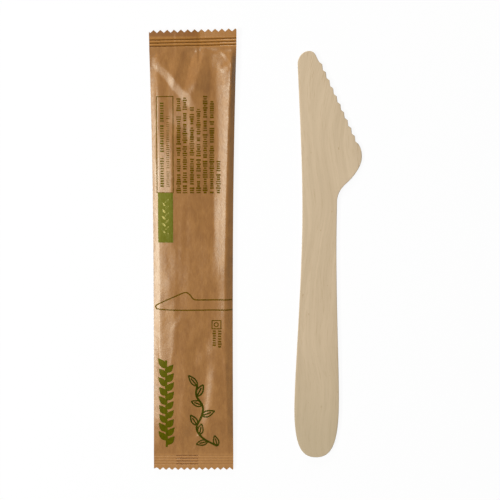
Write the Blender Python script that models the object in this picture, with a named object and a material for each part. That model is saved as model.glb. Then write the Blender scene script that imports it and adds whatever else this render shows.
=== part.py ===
"""A kraft paper sachet with a wooden knife sealed inside it, and the same knife lying bare beside it.

Metres, +Z up. Both lie on the table at z = 0 with their long side along Y. The origin is the middle
of the underside of the box around the two.
"""

import math

import bmesh
import bpy
from mathutils import Vector
from mathutils.geometry import interpolate_bezier

# Layout
PIECE_GAP = 0.0235  # clear strip of table between the sachet and the knife
KNIFE_STEP_DOWN = 0.0016  # the knife's middle lies this much lower than the sachet's

# Knife, die-cut from birch veneer. The blade's places are chained down from its tip.
KNIFE_LENGTH = 0.165
KNIFE_THICKNESS = 0.0016
KNIFE_LEAN = math.radians(-0.35)
KNIFE_EDGE_ROUND = 0.00025
HANDLE_WIDTH = 0.0182
HANDLE_WIDEST = 0.0215  # up from the handle's end
HANDLE_END_BLUNTNESS = 0.0056
HANDLE_END_SHOULDER = 0.004
TAPER_EASE = 0.027
TAPER_FOOT = 0.0145
NECK_WIDTH = 0.0137
NECK_LENGTH = 0.009
THROAT_TO_NECK = 0.0072
THROAT_BULGE = 0.00345  # the throat's reach beyond the neck's side
THROAT_ANGLE = math.radians(42)
THROAT_LEAD_UP = 0.0041
THROAT_LEAD_DOWN = 0.0023
NECK_FILLET = 0.0033
BELLY_TO_THROAT = 0.0105
BELLY_BULGE = 0.0015  # the belly's reach beyond the last tooth
BELLY_RISE = 0.0026
BELLY_DROP = 0.0036
TEETH_TO_BELLY = 0.0053
TEETH_REACH = 0.0149  # the last tooth's reach from the handle's axis
LAST_TOOTH_LEAD = 0.0015
LAST_TOOTH_ANGLE = math.radians(-57)
TEETH_LENGTH = 0.0326
TOOTH_COUNT = 11
TOOTH_LEAD = 0.0003
TOOTH_FLANK = 0.0022
TIP_TO_TEETH = 0.0034
TIP_WIDTH = 0.0088
TIP_BLUNTNESS = 0.0026
TIP_RIGHT_BLUNTNESS = 0.0026
FIRST_TOOTH_ANGLE = math.radians(112)
FIRST_TOOTH_LEAD = 0.0024
BACK_REACH = 0.0095
BACK_DROP = 0.005  # from the tip down to where the back starts to round over
BACK_EASE = 0.023
BACK_CURL = 0.010
BACK_FLARE = 0.0005
GRIND_START = 0.0036  # from the handle's axis to the line where the blade starts to thin
GRIND_BELOW_BELLY = 0.0062
GRIND_DEPTH = 0.0003
CURVE_STEPS = 10
SHORTEST_EDGE = 0.000001

TEETH_TOP = KNIFE_LENGTH - TIP_TO_TEETH
TEETH_FOOT = TEETH_TOP - TEETH_LENGTH
BELLY_REACH = TEETH_REACH + BELLY_BULGE
BELLY_HEIGHT = TEETH_FOOT - TEETH_TO_BELLY
THROAT_REACH = NECK_WIDTH / 2 + THROAT_BULGE
THROAT_HEIGHT = BELLY_HEIGHT - BELLY_TO_THROAT
NECK_TOP = THROAT_HEIGHT - THROAT_TO_NECK
NECK_FOOT = NECK_TOP - NECK_LENGTH
GRIND_FOOT = BELLY_HEIGHT - GRIND_BELOW_BELLY

# Sachet, one sheet of kraft paper: a tube with a flat fin along its back and a crimped seal at each end
SACHET_LENGTH = 0.1788
SACHET_TOP_WIDTH = 0.034
SACHET_WAIST_WIDTH = 0.0319
SACHET_FOOT_WIDTH = 0.0328
SACHET_LEAN = 0.006  # sideways run of the centreline for each unit of length
TOP_CUT_RISE = 0.0008  # the top cut climbs this much from left to right
TOP_CUT_FADE = 0.040  # length over which that slant dies out below the seal
BODY_THICKNESS = 0.0034
SHOULDER_LENGTH = 0.016
FOLD_LINES = (0.0003, 0.0007)  # extra lengthways lines, this far in from each side
LEFT_FOLD_ROUND = 0.0020
RIGHT_FOLD_ROUND = 0.0034
UNDER_FOLD_ROUND = 0.0016
RIM_THICKNESS = 0.0003
SEAL_BAND = 0.0068
SEAL_THICKNESS = 0.00045
SEAL_HEIGHT = 0.0012
ZIGZAG_COUNT = 13
ZIGZAG_DEPTH = 0.00085
CUT_BAND = 0.0014  # from the tooth tips to the first straight row
RIB_PITCH = 0.0012
RIB_DEPTH = 0.0002
TOP_RIB_COUNT = 3
FOOT_RIB_COUNT = 4
FIN_LEFT = 0.0072  # from the centreline to the fin's folded edge
FIN_RIGHT = 0.0022  # from the centreline to the fin's root
FIN_THICKNESS = 0.00016
FIN_STEP = 0.0002
SIDE_RIDGE_INSET = 0.0034  # from the right edge to the top of the long ridge
SIDE_RIDGE_WIDTH = 0.0034
SIDE_RIDGE_HEIGHT = 0.0003
CORNER_RIDGE_HEIGHT = 0.0004
CORNER_RIDGE_WIDTH = 0.0024
CORNER_RIDGE_START = 0.0122  # below the top end, on the left edge
CORNER_RIDGE_END = 0.0375
CORNER_RIDGE_REACH = 0.0185
CORNER_RIDGE_FADE = 0.5
BODY_STATIONS = 18
SHOULDER_STATIONS = 7

KNIFE_COLOR = (0.58, 0.46, 0.31, 1.0)
SACHET_COLOR = (0.38, 0.22, 0.10, 1.0)


def clear_scene():
    for item in list(bpy.data.objects):
        bpy.data.objects.remove(item, do_unlink=True)


def plain_material(name, color, roughness):
    material = bpy.data.materials.new(name)
    material.use_nodes = True
    shader = material.node_tree.nodes["Principled BSDF"]
    shader.inputs["Base Color"].default_value = color
    shader.inputs["Roughness"].default_value = roughness
    shader.inputs["Metallic"].default_value = 0.0
    return material


def object_from(name, mesh_data, material):
    mesh = bpy.data.meshes.new(name)
    mesh_data.to_mesh(mesh)
    mesh_data.free()
    item = bpy.data.objects.new(name, mesh)
    bpy.context.scene.collection.objects.link(item)
    mesh.materials.append(material)
    mesh.shade_smooth()
    mesh.set_sharp_from_angle(angle=math.radians(35))
    return item


def ease(t):
    t = min(max(t, 0.0), 1.0)
    return t * t * (3.0 - 2.0 * t)


def blend(first, second, t):
    return first + (second - first) * t


# Knife


def curve(start, start_handle, end_handle, end):
    """Points along one Bezier stretch, without its last point."""
    corners = [Vector((*point, 0.0)) for point in (start, start_handle, end_handle, end)]
    return [(point.x, point.y) for point in interpolate_bezier(*corners, CURVE_STEPS)[:-1]]


def stepped(point, angle, length):
    """The point this length away at this angle from +X."""
    return (point[0] + length * math.cos(angle), point[1] + length * math.sin(angle))


def handle_side(side):
    """From the neck down one side of the handle and round to the middle of its end."""
    neck = NECK_WIDTH / 2
    widest = HANDLE_WIDTH / 2
    taper = curve(
        (side * neck, NECK_FOOT),
        (side * neck, NECK_FOOT - TAPER_EASE),
        (side * widest, HANDLE_WIDEST + TAPER_FOOT),
        (side * widest, HANDLE_WIDEST),
    )
    end = curve(
        (side * widest, HANDLE_WIDEST),
        (side * widest, HANDLE_END_SHOULDER),
        (side * HANDLE_END_BLUNTNESS, 0.0),
        (0.0, 0.0),
    )
    return taper + end


def teeth():
    """The serrated edge down to the belly: each tooth is a long flank, then a short step out."""
    left = TIP_WIDTH - BACK_REACH
    run = (TEETH_REACH - left) / TOOTH_COUNT
    drop = TEETH_LENGTH / TOOTH_COUNT
    points = []
    for index in range(TOOTH_COUNT):
        x = left + run * index
        y = TEETH_TOP - drop * index
        points.append((x, y))
        points.append((x + TOOTH_LEAD, y - TOOTH_FLANK))
    return points[1:]


def belly():
    """From the last tooth round the blade's widest place and in to the neck."""
    neck = NECK_WIDTH / 2
    last_tooth = (TEETH_REACH, TEETH_FOOT)
    widest = (BELLY_REACH, BELLY_HEIGHT)
    throat = (THROAT_REACH, THROAT_HEIGHT)
    return (
        curve(
            last_tooth,
            stepped(last_tooth, LAST_TOOTH_ANGLE, LAST_TOOTH_LEAD),
            (BELLY_REACH, BELLY_HEIGHT + BELLY_RISE),
            widest,
        )
        + curve(
            widest,
            (BELLY_REACH, BELLY_HEIGHT - BELLY_DROP),
            stepped(throat, THROAT_ANGLE, THROAT_LEAD_UP),
            throat,
        )
        + curve(
            throat,
            stepped(throat, THROAT_ANGLE, -THROAT_LEAD_DOWN),
            (neck, NECK_TOP + NECK_FILLET),
            (neck, NECK_TOP),
        )
    )


def back_and_tip():
    """From the neck up the blade's back and round the blunt tip to the first tooth."""
    neck = NECK_WIDTH / 2
    shoulder = (-BACK_REACH, KNIFE_LENGTH - BACK_DROP)
    crown = (TIP_WIDTH / 2 - BACK_REACH, KNIFE_LENGTH)
    first_tooth = teeth()[0]
    return (
        curve(
            (-neck, NECK_FOOT),
            (-neck, NECK_FOOT + BACK_EASE),
            (-BACK_REACH + BACK_FLARE, shoulder[1] - BACK_CURL),
            shoulder,
        )
        + curve(
            shoulder,
            (-BACK_REACH, shoulder[1] + TIP_BLUNTNESS),
            (crown[0] - TIP_BLUNTNESS, KNIFE_LENGTH),
            crown,
        )
        + curve(
            crown,
            (crown[0] + TIP_RIGHT_BLUNTNESS, KNIFE_LENGTH),
            stepped(first_tooth, FIRST_TOOTH_ANGLE, FIRST_TOOTH_LEAD),
            first_tooth,
        )
    )


def knife_outline():
    """The outline, anticlockwise from the handle's end, in the handle's own axes."""
    left = handle_side(-1.0)[::-1]
    stretches = left + back_and_tip() + teeth() + belly() + handle_side(1.0) + [(0.0, 0.0)]
    points = []
    for point in stretches:
        if not points or math.dist(points[-1], point) > SHORTEST_EDGE:
            points.append(point)
    return points[::-1]


def leaning(points):
    """The outline turned to the way the knife lies, with its middle at the origin."""
    turned = []
    for x, y in points:
        along = y - KNIFE_LENGTH / 2
        turned.append(
            (
                x * math.cos(KNIFE_LEAN) - along * math.sin(KNIFE_LEAN),
                x * math.sin(KNIFE_LEAN) + along * math.cos(KNIFE_LEAN),
            )
        )
    return turned


def extruded(outline, bottom, top):
    """A closed prism over an anticlockwise outline."""
    shape = bmesh.new()
    base = [shape.verts.new((x, y, bottom)) for x, y in outline]
    face = shape.faces.new(base)
    raised = bmesh.ops.extrude_face_region(shape, geom=[face])
    corners = [item for item in raised["geom"] if isinstance(item, bmesh.types.BMVert)]
    bmesh.ops.translate(shape, verts=corners, vec=(0.0, 0.0, top - bottom))
    bmesh.ops.recalc_face_normals(shape, faces=shape.faces)
    return shape


def round_edges(item, width):
    bevel = item.modifiers.new("edge_round", "BEVEL")
    bevel.width = width
    bevel.segments = 2
    bevel.limit_method = "ANGLE"
    bevel.angle_limit = math.radians(60)


def grind_cutter():
    """A thin wedge that takes the blade down towards its teeth."""
    reach = BELLY_REACH - GRIND_START
    clear = KNIFE_THICKNESS
    slope = GRIND_DEPTH / reach
    far = GRIND_START + 2 * reach
    section = [
        (GRIND_START - clear, KNIFE_THICKNESS + slope * clear),
        (far, KNIFE_THICKNESS - slope * (far - GRIND_START)),
        (far, KNIFE_THICKNESS + clear),
        (GRIND_START - clear, KNIFE_THICKNESS + clear),
    ]
    shape = bmesh.new()
    foot = [shape.verts.new((x, GRIND_FOOT, z)) for x, z in section]
    face = shape.faces.new(foot)
    raised = bmesh.ops.extrude_face_region(shape, geom=[face])
    corners = [item for item in raised["geom"] if isinstance(item, bmesh.types.BMVert)]
    bmesh.ops.translate(shape, verts=corners, vec=(0.0, KNIFE_LENGTH - GRIND_FOOT + clear, 0.0))
    bmesh.ops.recalc_face_normals(shape, faces=shape.faces)
    bmesh.ops.translate(shape, verts=shape.verts, vec=(0.0, -KNIFE_LENGTH / 2, 0.0))
    return shape


def add_knife(material):
    """The knife with its handle's axis on x = 0, and the two sides that it reaches to."""
    outline = leaning(knife_outline())
    knife = object_from("wooden_knife", extruded(outline, 0.0, KNIFE_THICKNESS), material)
    cutter = object_from("grind_cutter", grind_cutter(), material)
    cutter.rotation_euler.z = KNIFE_LEAN
    cutter.hide_render = True
    cutter.display_type = "WIRE"
    cutter.parent = knife
    grind = knife.modifiers.new("grind", "BOOLEAN")
    grind.operation = "DIFFERENCE"
    grind.solver = "EXACT"
    grind.object = cutter
    round_edges(knife, KNIFE_EDGE_ROUND)
    sides = [x for x, _ in outline]
    return knife, min(sides), max(sides)


# Sachet


def body_share(v):
    """0 on the flat seals, 1 along the full body, eased over the shoulders."""
    inner = SACHET_LENGTH / 2 - SEAL_BAND
    return ease((inner - abs(v)) / SHOULDER_LENGTH)


def half_width(v):
    inner = SACHET_LENGTH / 2 - SEAL_BAND
    end_width = SACHET_TOP_WIDTH if v > 0 else SACHET_FOOT_WIDTH
    share = min(abs(v) / inner, 1.0) ** 2
    return blend(SACHET_WAIST_WIDTH, end_width, share) / 2


def rib_wave(v):
    """Height of the crimped ribs, a straight-sided wave across each seal."""
    count = TOP_RIB_COUNT if v > 0 else FOOT_RIB_COUNT
    along = (abs(v) - (SACHET_LENGTH / 2 - SEAL_BAND)) / RIB_PITCH
    if along <= 0.0 or along >= count:
        return 0.0
    phase = along % 1.0
    return -RIB_DEPTH * (1.0 - abs(2.0 * phase - 1.0))


def fin_share(u):
    """1 over the fin that is folded flat against the back, 0 beside it."""
    into = min(u + FIN_LEFT, FIN_RIGHT - u)
    return min(max(into / FIN_STEP + 0.5, 0.0), 1.0)


def quarter_round(distance, radius):
    """Share of the full height at this distance in from a folded edge."""
    t = min(max(distance / radius, 0.0), 1.0)
    return math.sqrt(1.0 - (1.0 - t) ** 2)


def side_ridge(u, half):
    """The long ridge inside the right edge, which climbs slowly from the left."""
    before = half - SIDE_RIDGE_INSET - u
    return SIDE_RIDGE_HEIGHT * ease(1.0 - abs(before) / SIDE_RIDGE_WIDTH)


def corner_ridge(u, v, half):
    """The fold that runs from the left edge under the top seal down to the middle."""
    start = Vector((-half, SACHET_LENGTH / 2 - CORNER_RIDGE_START))
    end = Vector((CORNER_RIDGE_REACH - half, SACHET_LENGTH / 2 - CORNER_RIDGE_END))
    line = end - start
    point = Vector((u, v)) - start
    along = min(max(point.dot(line) / line.length_squared, 0.0), 1.0)
    away = (point - line * along).length
    return CORNER_RIDGE_HEIGHT * ease(1.0 - away / CORNER_RIDGE_WIDTH) * (1.0 - CORNER_RIDGE_FADE * along)


def rim_height(v):
    return blend(SEAL_HEIGHT, BODY_THICKNESS / 2, body_share(v))


def top_height(u, v):
    half = half_width(v)
    share = body_share(v)
    rim = rim_height(v) + RIM_THICKNESS / 2
    fold = min(quarter_round(half + u, LEFT_FOLD_ROUND), quarter_round(half - u, RIGHT_FOLD_ROUND))
    relief = side_ridge(u, half) + corner_ridge(u, v, half)
    body = blend(rim, BODY_THICKNESS + relief, fold)
    seal = SEAL_HEIGHT + SEAL_THICKNESS / 2 + fin_share(u) * FIN_THICKNESS / 2
    return blend(seal + rib_wave(v), body, share)


def under_height(u, v):
    half = half_width(v)
    share = body_share(v)
    rim = rim_height(v) - RIM_THICKNESS / 2
    fold = quarter_round(half - abs(u), UNDER_FOLD_ROUND)
    body = blend(rim, FIN_THICKNESS * (1.0 - fin_share(u)), fold)
    seal = SEAL_HEIGHT - SEAL_THICKNESS / 2 - fin_share(u) * FIN_THICKNESS / 2
    return blend(seal + rib_wave(v), body, share)


def columns():
    """Shares of the half width where a lengthways line runs: zigzag corners, folds and the fin's edges."""
    half = SACHET_WAIST_WIDTH / 2
    sides = (-1.0, 1.0)
    zigzag = [index / ZIGZAG_COUNT - 1.0 for index in range(2 * ZIGZAG_COUNT + 1)]
    folds = [side * (1.0 - inset / half) for side in sides for inset in FOLD_LINES]
    fin = [(edge + side * FIN_STEP / 2) / half for edge in (-FIN_LEFT, FIN_RIGHT) for side in sides]
    return sorted(zigzag + folds + fin)


def zigzag_cut(share):
    """How far the pinked cut lies inside the tooth tips at this place across."""
    return ZIGZAG_DEPTH * abs(1.0 - ((share + 1.0) * ZIGZAG_COUNT) % 2.0)


def stations():
    """Places along the sachet from foot to top, the two zigzag ends left out."""
    inner = SACHET_LENGTH / 2 - SEAL_BAND
    ends = []
    for side, count in ((-1.0, FOOT_RIB_COUNT), (1.0, TOP_RIB_COUNT)):
        places = [SACHET_LENGTH / 2 - CUT_BAND]
        places += [inner + RIB_PITCH * half_step / 2 for half_step in range(2 * count + 1)]
        shoulder_step = SHOULDER_LENGTH / SHOULDER_STATIONS
        places += [inner - shoulder_step * step for step in range(1, SHOULDER_STATIONS + 1)]
        ends += [side * place for place in places]
    body = inner - SHOULDER_LENGTH
    middle = [body * (2.0 * step / BODY_STATIONS - 1.0) for step in range(1, BODY_STATIONS)]
    return sorted(ends + middle)


def placed(u, v, z):
    """A sachet point moved for the slanted top cut and the lean of the centreline."""
    half = SACHET_LENGTH / 2
    fade = ease(1.0 - (half - SEAL_BAND - v) / TOP_CUT_FADE)
    rise = TOP_CUT_RISE * u / SACHET_TOP_WIDTH * fade
    return (u + SACHET_LEAN * v, v + rise, z)


def ring(shape, shares, along):
    """One closed loop round the sachet. along gives the place along it for each column."""
    top = []
    under = []
    for share in shares:
        v = along(share)
        u = share * half_width(v)
        top.append(shape.verts.new(placed(u, v, top_height(u, v))))
        under.append(shape.verts.new(placed(u, v, under_height(u, v))))
    return top + under[::-1]


def add_sachet(material):
    """The sealed sachet as one solid: rings from foot to top, and a wall at each zigzag cut."""
    shape = bmesh.new()
    shares = columns()
    half = SACHET_LENGTH / 2
    rings = [ring(shape, shares, lambda share: zigzag_cut(share) - half)]
    rings += [ring(shape, shares, lambda share, v=v: v) for v in stations()]
    rings.append(ring(shape, shares, lambda share: half - zigzag_cut(share)))
    count = len(rings[0])
    for lower, upper in zip(rings, rings[1:]):
        for index in range(count):
            following = (index + 1) % count
            shape.faces.new((lower[index], lower[following], upper[following], upper[index]))
    for cut in (rings[0], rings[-1]):
        for index in range(len(shares) - 1):
            shape.faces.new((cut[index], cut[index + 1], cut[count - 2 - index], cut[count - 1 - index]))
    bmesh.ops.recalc_face_normals(shape, faces=shape.faces)
    sides = [vertex.co.x for vertex in shape.verts]
    ends = [vertex.co.y for vertex in shape.verts]
    sachet = object_from("paper_sachet", shape, material)
    return sachet, min(sides), max(sides), (min(ends) + max(ends)) / 2


def main():
    clear_scene()
    knife, knife_left, knife_right = add_knife(plain_material("birch", KNIFE_COLOR, 0.7))
    sachet, left, right, middle = add_sachet(plain_material("kraft_paper", SACHET_COLOR, 0.5))
    width = (right - left) + PIECE_GAP + (knife_right - knife_left)
    sachet.location = (-width / 2 - left, -middle, 0.0)
    knife.location = (width / 2 - knife_right, -KNIFE_STEP_DOWN, 0.0)


main()
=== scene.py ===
"""The looks of a kraft paper cutlery sachet and of the bare birch knife that lies beside it.

Metres, in the CAD frame. The sachet's own axes are u across it and v along it, from its middle.
The knife's own axes run across its handle and up from the handle's end.
"""

import functools
import math

import bpy
import numpy as np
from mathutils import Matrix, Vector
from mathutils.geometry import interpolate_bezier


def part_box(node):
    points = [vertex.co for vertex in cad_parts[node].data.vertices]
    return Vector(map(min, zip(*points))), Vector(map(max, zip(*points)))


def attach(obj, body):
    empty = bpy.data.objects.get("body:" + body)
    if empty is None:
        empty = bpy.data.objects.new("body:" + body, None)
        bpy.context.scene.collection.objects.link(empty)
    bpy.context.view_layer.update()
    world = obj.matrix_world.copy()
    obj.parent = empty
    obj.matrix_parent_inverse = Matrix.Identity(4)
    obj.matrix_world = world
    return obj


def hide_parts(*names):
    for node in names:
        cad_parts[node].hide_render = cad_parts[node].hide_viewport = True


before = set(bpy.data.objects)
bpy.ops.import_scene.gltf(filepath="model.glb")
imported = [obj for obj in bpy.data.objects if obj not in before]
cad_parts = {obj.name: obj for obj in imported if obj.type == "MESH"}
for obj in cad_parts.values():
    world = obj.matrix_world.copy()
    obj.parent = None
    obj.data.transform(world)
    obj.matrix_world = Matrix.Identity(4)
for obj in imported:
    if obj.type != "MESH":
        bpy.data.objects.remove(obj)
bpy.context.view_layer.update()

MM = 0.001
SEED = 11
SHARP_ANGLE = math.radians(40)

# Camera, fitted to the photograph's two silhouettes
CAMERA_LENS = 75.11
CAMERA_SENSOR = 36.0
CAMERA_DISTANCE = 0.420
CAMERA_TILT = math.radians(8.161)
LOOK_AT = Vector((-0.00232, 0.0022, 0.0))

# Sachet sizes, as in the CAD
SACHET_LENGTH = 0.1788
SACHET_TOP_WIDTH = 0.034
SACHET_WAIST_WIDTH = 0.0319
SACHET_FOOT_WIDTH = 0.0328
SACHET_LEAN = 0.006
TOP_CUT_RISE = 0.0008
TOP_CUT_FADE = 0.040
BODY_THICKNESS = 0.0034
SHOULDER_LENGTH = 0.016
RIM_THICKNESS = 0.0003
SEAL_BAND = 0.0068
SEAL_THICKNESS = 0.00045
SEAL_HEIGHT = 0.0012
CUT_BAND = 0.0014
RIB_PITCH = 0.0012
TOP_RIB_COUNT = 3
FOOT_RIB_COUNT = 4
UNDER_FOLD_ROUND = 0.0016

# Sachet sizes that only its look needs, or where it differs a little from the CAD
FIN_LEFT = 0.0071
FIN_RIGHT = 0.0020
FIN_THICKNESS = 0.00014
FIN_CLEARANCE = 0.00016
FIN_STEP = 0.0003
FIN_PRINT = 0.0012  # how softly the fin shows through the upper sheet
FIN_ROWS = 640
FIN_COLUMNS = 26
KNURL_PITCH = 0.0011
KNURL_DEPTH = 0.00003
ZIGZAG_DEPTH = 0.00115
RIB_DEPTH = 0.00042
RIB_LAND = 0.3  # share of a rib's rise that stays level between the grooves
RIB_FAINTNESS = 0.32  # what is left of the foot's ribs beside the fin
FOOT_RIB_SHARE = 0.8
SEAL_INNER = SACHET_LENGTH / 2 - SEAL_BAND
CROWN = 0.0005
CROWN_ROOM = 0.0002  # left over the crown for the ripples
PLY_GAP = 0.00022  # the least height of the upper sheet over the lower one
RELIEF_FADE = 0.0025
HIGHEST_FOLD = 0.00371

# Side facets, in mm: the left one's rise at places in from its edge, the right one's width along the sachet
LEFT_FACET = ((0.0, 2.5, 3.4, 7.5), (0.0, 0.76, 0.85, 1.0))
RIGHT_FACET = ((-82.0, -40.0, -10.0, 15.0, 38.0, 58.0, 72.0), (2.2, 3.2, 3.3, 3.0, 2.7, 2.3, 2.0))
RIGHT_FACET_CURVE = 1.2

# How the crimped ends tip and dip: places across the sachet in mm, and slopes or heights in mm there
TOP_TIP = ((-17.0, -2.0, 1.4, 2.8, 17.0), (0.09, 0.11, 0.09, 0.04, 0.02))
TOP_DIP = ((-17.0, -3.0, 2.1, 17.0), (0.70, -0.10, -0.36, 0.60))
FOOT_TIP = ((-17.0, 0.0, 17.0), (-0.02, 0.0, -0.03))


def ease(t):
    t = np.clip(t, 0.0, 1.0)
    return t * t * (3.0 - 2.0 * t)


def blend(first, second, t):
    return first + (second - first) * t


# Meshes


def mesh_object(name, points, faces, edges=()):
    mesh = bpy.data.meshes.new(name)
    mesh.from_pydata(points, edges, faces)
    mesh.validate()
    item = bpy.data.objects.new(name, mesh)
    bpy.context.scene.collection.objects.link(item)
    return item


def quads(a, b, c, d):
    return np.stack([a, b, c, d], axis=-1).reshape(-1, 4)


def grid_shell(x, y, upper, lower):
    """Points and faces of a closed shell between two height fields over one grid.

    Rows run forwards and columns to their right, as +Y and +X do.
    """
    rows, columns = x.shape
    top = np.stack([x, y, upper], axis=-1).reshape(-1, 3)
    under = np.stack([x, y, lower], axis=-1).reshape(-1, 3)
    index = np.arange(rows * columns).reshape(rows, columns)
    deep = index + rows * columns
    faces = [
        quads(index[:-1, :-1], index[:-1, 1:], index[1:, 1:], index[1:, :-1]),
        quads(deep[:-1, :-1], deep[1:, :-1], deep[1:, 1:], deep[:-1, 1:]),
        quads(index[:-1, 0], index[1:, 0], deep[1:, 0], deep[:-1, 0]),
        quads(index[1:, -1], index[:-1, -1], deep[:-1, -1], deep[1:, -1]),
        quads(index[0, 1:], index[0, :-1], deep[0, :-1], deep[0, 1:]),
        quads(index[-1, :-1], index[-1, 1:], deep[-1, 1:], deep[-1, :-1]),
    ]
    return np.concatenate([top, under]), np.concatenate(faces)


def joined(name, shells):
    """One object out of several shells."""
    points = []
    faces = []
    count = 0
    for shell_points, shell_faces in shells:
        points.append(shell_points)
        faces.append(shell_faces + count)
        count += len(shell_points)
    item = mesh_object(name, np.concatenate(points).tolist(), np.concatenate(faces).tolist())
    smooth(item)
    return item


def smooth(item):
    item.data.shade_smooth()
    item.data.set_sharp_from_angle(angle=SHARP_ANGLE)


def finished(item, material=None, node=None):
    """Give a piece its finish, let it ride with the row's body and stand for its CAD node."""
    if material:
        item.data.materials.append(material)
    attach(item, "root")
    if node:
        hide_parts(node)
    return item


# Sachet: the sheet's height over the table


def body_share(v):
    """0 on the flat seals, 1 along the full body, eased over the shoulders."""
    return ease((SEAL_INNER - np.abs(v)) / SHOULDER_LENGTH)


def half_width(v):
    end_width = np.where(v > 0, SACHET_TOP_WIDTH, SACHET_FOOT_WIDTH)
    share = np.minimum(np.abs(v) / SEAL_INNER, 1.0) ** 2
    return blend(SACHET_WAIST_WIDTH, end_width, share) / 2


def fin_share(u, step=FIN_STEP):
    """1 over the fin that is folded flat against the back, 0 beside it."""
    into = np.minimum(u + FIN_LEFT, FIN_RIGHT - u)
    return ease(into / step + 0.5)


def rib_wave(u, v):
    """The crimped ribs: even across the top seal, pressed deep only over the fin at the foot."""
    count = np.where(v > 0, TOP_RIB_COUNT, FOOT_RIB_COUNT)
    along = (np.abs(v) - SEAL_INNER) / RIB_PITCH
    inside = (along > 0.0) & (along < count)
    strength = np.where(v > 0, 1.0, FOOT_RIB_SHARE * blend(RIB_FAINTNESS, 1.0, fin_share(u)))
    groove = 1.0 - np.abs(2.0 * (along % 1.0) - 1.0)
    wave = -RIB_DEPTH * np.clip((groove - RIB_LAND) / (1.0 - RIB_LAND), 0.0, 1.0)
    return np.where(inside, wave * strength, 0.0)


def seal_twist(u, v):
    """The crimped ends don't lie level: the top one dips at its crease and tips two ways beside it."""
    out = np.maximum(np.abs(v) - SEAL_INNER, 0.0)
    top = out * np.interp(u / MM, *TOP_TIP) + np.interp(u / MM, *TOP_DIP) * MM
    return np.where(v > 0, top, out * np.interp(u / MM, *FOOT_TIP))


def left_fold(distance):
    """Share of the full height near the left edge, where the sheet leans towards the light."""
    return np.interp(distance / MM, *LEFT_FACET)


def right_fold(distance, v):
    """Share of the full height near the right edge, where the sheet drops away from the light."""
    width = np.interp(v / MM, *RIGHT_FACET) * MM
    return 1.0 - (1.0 - np.clip(distance / width, 0.0, 1.0)) ** RIGHT_FACET_CURVE


def beside(u, v, path):
    """Distance from a path in mm, positive on the left of its run, and how far along the run that is."""
    points = np.array(path) * MM
    nearest = np.full(u.shape, np.inf)
    side = np.ones(u.shape)
    run_at = np.zeros(u.shape)
    done = 0.0
    for start, end in zip(points, points[1:]):
        step = end - start
        length = np.hypot(*step)
        along = ((u - start[0]) * step[0] + (v - start[1]) * step[1]) / length**2
        held = np.clip(along, 0.0, 1.0)
        away = np.hypot(u - start[0] - held * step[0], v - start[1] - held * step[1])
        cross = step[0] * (v - start[1]) - step[1] * (u - start[0])
        nearer = away < nearest
        side = np.where(nearer, np.sign(cross), side)
        run_at = np.where(nearer, done + held * length, run_at)
        nearest = np.minimum(nearest, away)
        done += length
    return nearest * side / MM, run_at / MM, done / MM


SOFTENING = (-1.0, -0.5, 0.0, 0.5, 1.0)  # places across a crease whose heights are averaged


def pleat(u, v, path, across, heights, fades, soft=0.25, last=1.0):
    """A crease along a path: heights in mm at distances across it, rounded, and eased out at both ends."""
    away, run, length = beside(u, v, path)
    ends = ease(run / fades[0]) * ease((length - run) / fades[1])
    height = sum(np.interp(away + shift * soft, across, heights) for shift in SOFTENING) / len(SOFTENING)
    return ends * blend(1.0, last, run / length) * height * MM


def dent(u, v, centre, reach, height, turn=0.0):
    """A soft rise, or a hollow where the height is below 0, in mm."""
    angle = math.radians(turn)
    du = u / MM - centre[0]
    dv = v / MM - centre[1]
    across = (du * math.cos(angle) + dv * math.sin(angle)) / reach[0]
    along = (dv * math.cos(angle) - du * math.sin(angle)) / reach[1]
    return height * MM * np.exp(-(across**2) - along**2)


# The three long creases' paths, in mm
CORNER_PLEAT = (
    (-17.2, 78.6), (-15.9, 75.7), (-10.8, 69.9), (-5.8, 64.1), (-1.1, 59.1), (1.3, 55.2),
    (3.2, 51.0),
)
LONG_PLEAT = (
    (12.2, 82.4), (11.3, 76.0), (10.5, 68.0), (10.2, 56.0), (9.8, 38.0), (9.5, 20.0), (9.2, 0.0),
    (9.1, -20.0), (8.4, -40.0),
)
FOOT_STREAK = ((6.2, -41.0), (5.6, -52.0), (4.4, -62.0), (2.8, -70.0), (0.6, -78.0))

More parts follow.
